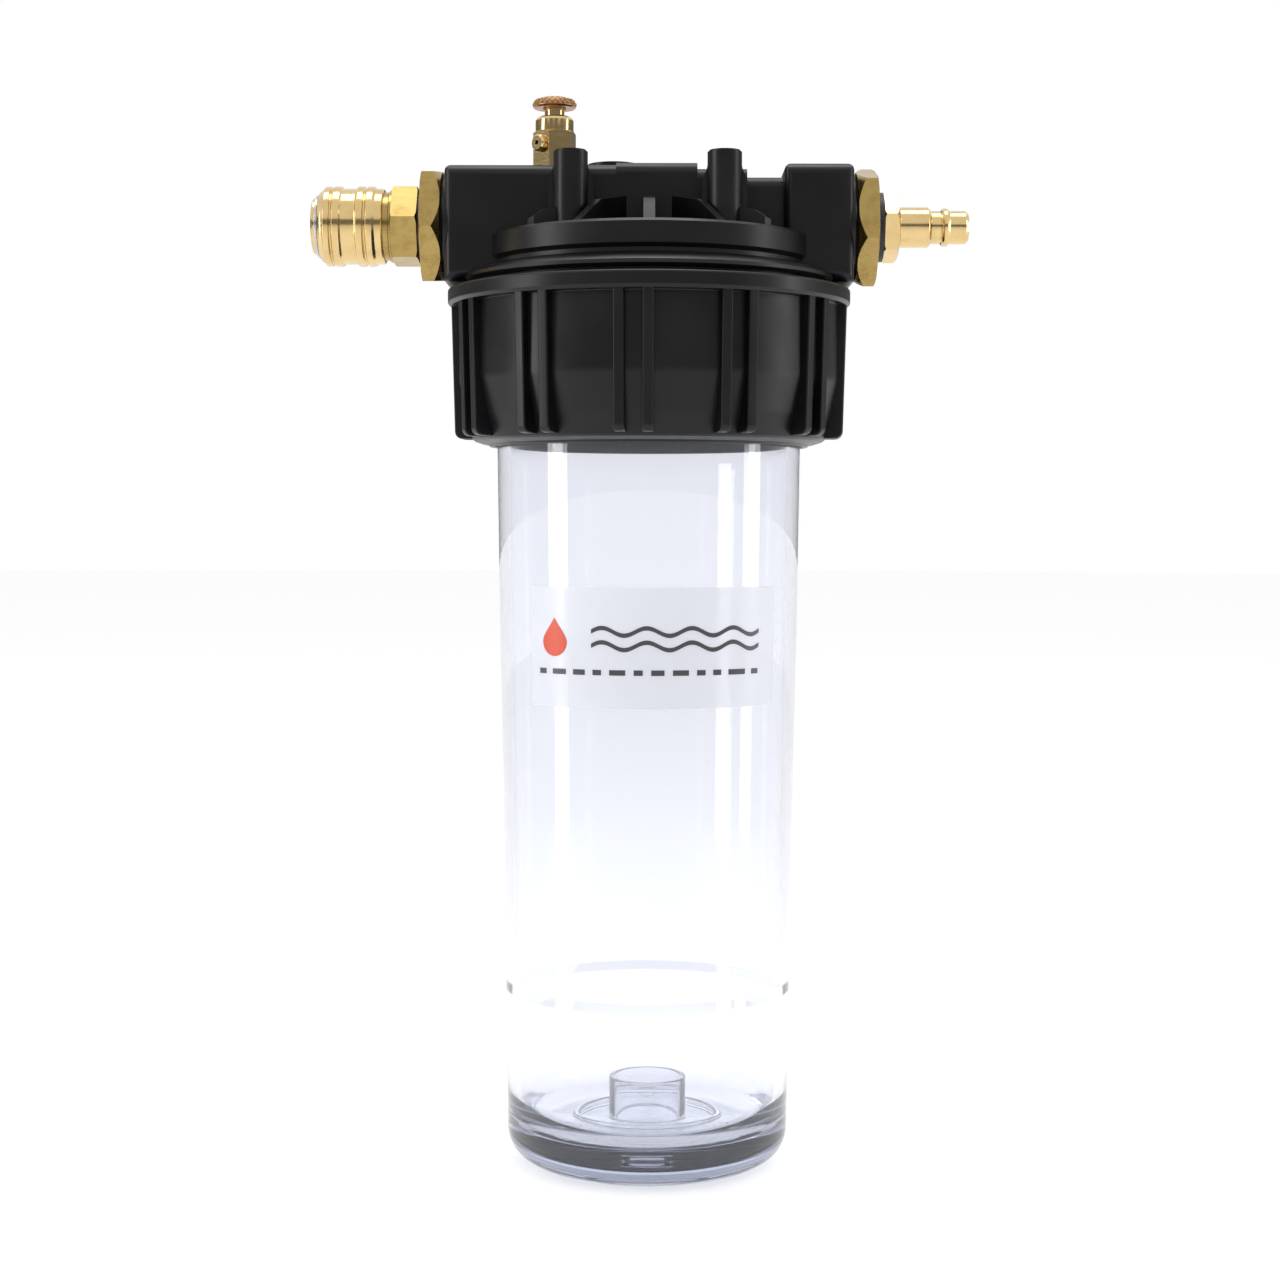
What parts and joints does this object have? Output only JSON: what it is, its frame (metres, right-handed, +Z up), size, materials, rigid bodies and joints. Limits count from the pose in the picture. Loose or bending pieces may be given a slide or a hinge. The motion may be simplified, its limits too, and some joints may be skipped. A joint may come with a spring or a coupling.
{
  "type": "water filter housing",
  "caption": "In-line water filter housing: clear bowl, moulded head and ribbed union nut, with a brass quick coupling, a quick plug and a vent valve.",
  "frame": {"origin": "centre of the bowl's flat base", "axes": "+Z up along the bowl's axis, +X from the quick coupling towards the quick plug along the port axis, -Y the front with the label"},
  "size_m": [0.2019, 0.124, 0.3294],
  "materials": {
    "black_plastic": "moulded satin black, lightly polished on the edges",
    "clear_plastic": "clear moulded, very pale blue",
    "label_film": "translucent white film with printed plain shapes",
    "rubber": "smooth black rubber",
    "brass": "turned and polished",
    "dull_brass": "drawn hexagon bar, lightly oxidised",
    "knob_brass": "knurled, darkened",
    "steel": "turned bright steel"
  },
  "bodies": {
    "head": {"head": "black_plastic", "inlet_reducer": "dull_brass", "outlet_reducer": "dull_brass", "inlet_seal": "rubber", "outlet_seal": "rubber", "coupling_washer": "rubber", "coupling_adaptor": "brass", "coupling_socket": "steel", "sleeve_spring": "steel", "sleeve_snap_ring": "steel", "coupling_seal": "rubber", "poppet_spring": "steel", "plug_washer": "rubber", "quick_plug": "brass", "vent_body": "brass", "vent_gasket": "rubber"},
    "bowl": {"bowl": "clear_plastic", "bowl_o_ring": "rubber", "bowl_label": "label_film"},
    "nut": {"union_nut": "black_plastic"},
    "sleeve": {"coupling_sleeve": "brass"},
    "poppet": {"coupling_poppet": "brass"},
    "needle": {"vent_seat_seal": "rubber"},
    "knob": {"vent_spindle": "brass", "vent_o_ring": "rubber", "vent_knob": "knob_brass"},
    "ball_1": {"locking_ball_1": "steel"},
    "ball_2": {"locking_ball_2": "steel"},
    "ball_3": {"locking_ball_3": "steel"},
    "ball_4": {"locking_ball_4": "steel"}
  },
  "joints": [
    {"name": "nut_turn", "type": "hinge", "parent": "bowl", "child": "nut", "pos_m": [0, 0, 0.2425], "axis": [0, 0, -1], "range_deg": [0, 1260]},
    {"name": "bowl_slide", "type": "slide", "parent": "head", "child": "bowl", "axis": [0, 0, -1], "range_m": [0, 0.021]},
    {"name": "sleeve_slide", "type": "slide", "parent": "head", "child": "sleeve", "axis": [1, 0, 0], "range_m": [0, 0.0016], "stiffness_N_per_m": 3000, "springref_m": -0.002, "deforming": ["sleeve_spring"]},
    {"name": "poppet_slide", "type": "slide", "parent": "head", "child": "poppet", "axis": [1, 0, 0], "range_m": [0, 0.0025], "stiffness_N_per_m": 1500, "springref_m": -0.002, "deforming": ["poppet_spring"]},
    {"name": "vent_turn", "type": "hinge", "parent": "needle", "child": "knob", "pos_m": [-0.0292, 0, 0.322], "axis": [0, 0, 1], "range_deg": [0, 540]},
    {"name": "vent_lift", "type": "slide", "parent": "head", "child": "needle", "axis": [0, 0, 1], "range_m": [0, 0.0015]},
    {"name": "ball_1_slide", "type": "slide", "parent": "head", "child": "ball_1", "axis": [0, 0.7071, 0.7071], "range_m": [0, 0.001]},
    {"name": "ball_2_slide", "type": "slide", "parent": "head", "child": "ball_2", "axis": [0, 0.7071, -0.7071], "range_m": [0, 0.001]},
    {"name": "ball_3_slide", "type": "slide", "parent": "head", "child": "ball_3", "axis": [0, -0.7071, -0.7071], "range_m": [0, 0.001]},
    {"name": "ball_4_slide", "type": "slide", "parent": "head", "child": "ball_4", "axis": [0, -0.7071, 0.7071], "range_m": [0, 0.001]}
  ],
  "couplings": [
    {"joint": "bowl_slide", "follows": "nut_turn", "m_per_rad": 0.00095493},
    {"joint": "vent_turn", "follows": "vent_lift", "rad_per_m": 6283.2},
    {"joint": "ball_1_slide", "follows": "sleeve_slide", "ratio": 0.625},
    {"joint": "ball_2_slide", "follows": "sleeve_slide", "ratio": 0.625},
    {"joint": "ball_3_slide", "follows": "sleeve_slide", "ratio": 0.625},
    {"joint": "ball_4_slide", "follows": "sleeve_slide", "ratio": 0.625}
  ]
}
